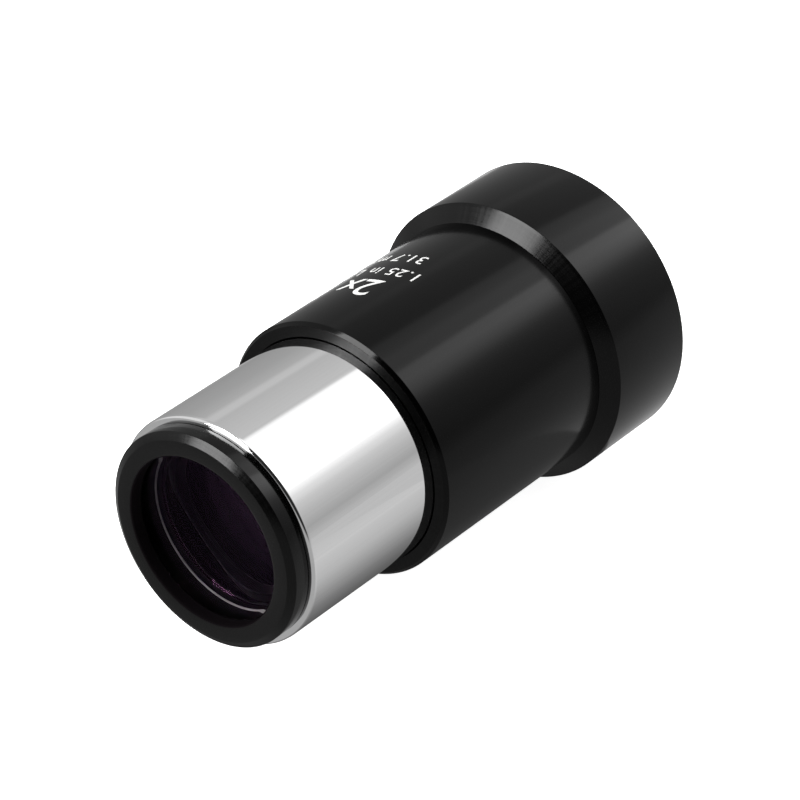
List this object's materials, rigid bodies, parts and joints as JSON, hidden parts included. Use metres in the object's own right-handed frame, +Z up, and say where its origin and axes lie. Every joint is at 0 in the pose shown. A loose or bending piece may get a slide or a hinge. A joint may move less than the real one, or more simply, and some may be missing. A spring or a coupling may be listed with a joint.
{
  "type": "barlow lens",
  "caption": "Telescope barlow lens: plated nosepiece with a screw-in negative lens cell, black body and a wide eyepiece socket with a clamp screw.",
  "frame": {"origin": "centre of the base of the model's box, on the surface that the eyepiece holder and the clamp screw's knob rest on", "axes": "+Z up, the optical axis level along Y with the glass facing -Y and the eyepiece socket facing +Y"},
  "size_m": [0.0453, 0.0742, 0.0404],
  "materials": {
    "black_anodised": "satin black anodised, turned",
    "black_anodised_holder": "satin black anodised, turned",
    "polished_chrome": "bright chrome plate on brass",
    "black_cell": "satin black anodised",
    "flat_black": "flat black, ridged against stray light",
    "coated_crown": "polished optical glass with a purple anti-reflection coating",
    "coated_flint": "polished optical glass with a blue anti-reflection coating",
    "bright_steel": "bright machined thread",
    "black_knob": "black anodised, straight knurled"
  },
  "bodies": {
    "tube": {"body_tube": "black_anodised", "eyepiece_holder": "black_anodised_holder", "nosepiece_barrel": "polished_chrome", "front_baffle": "flat_black", "rear_baffle": "flat_black"},
    "glass": {"front_element": "coated_crown", "rear_element": "coated_flint"},
    "cell": {"lens_cell": "black_cell", "lens_retaining_ring": "flat_black"},
    "clamp_stud": {"clamp_screw_stud": "bright_steel"},
    "clamp_knob": {"clamp_screw_knob": "black_knob"}
  },
  "joints": [
    {"name": "cell_slide", "type": "slide", "parent": "tube", "child": "glass", "axis": [0, -1, 0], "range_m": [0, 0.0042]},
    {"name": "cell_turn", "type": "hinge", "parent": "glass", "child": "cell", "pos_m": [0.00264, -0.03422, 0.0202], "axis": [0, -1, 0], "range_deg": [0, 2520]},
    {"name": "clamp_slide", "type": "slide", "parent": "tube", "child": "clamp_stud", "axis": [-0.8024, 0, -0.5967], "range_m": [-0.001, 0.0042]},
    {"name": "clamp_turn", "type": "hinge", "parent": "clamp_stud", "child": "clamp_knob", "pos_m": [0.00264, 0.03018, 0.0202], "axis": [-0.8024, 0, -0.5967], "range_deg": [-514.29, 2160]}
  ],
  "couplings": [
    {"joint": "cell_turn", "follows": "cell_slide", "rad_per_m": 10472},
    {"joint": "clamp_turn", "follows": "clamp_slide", "rad_per_m": 8976}
  ]
}
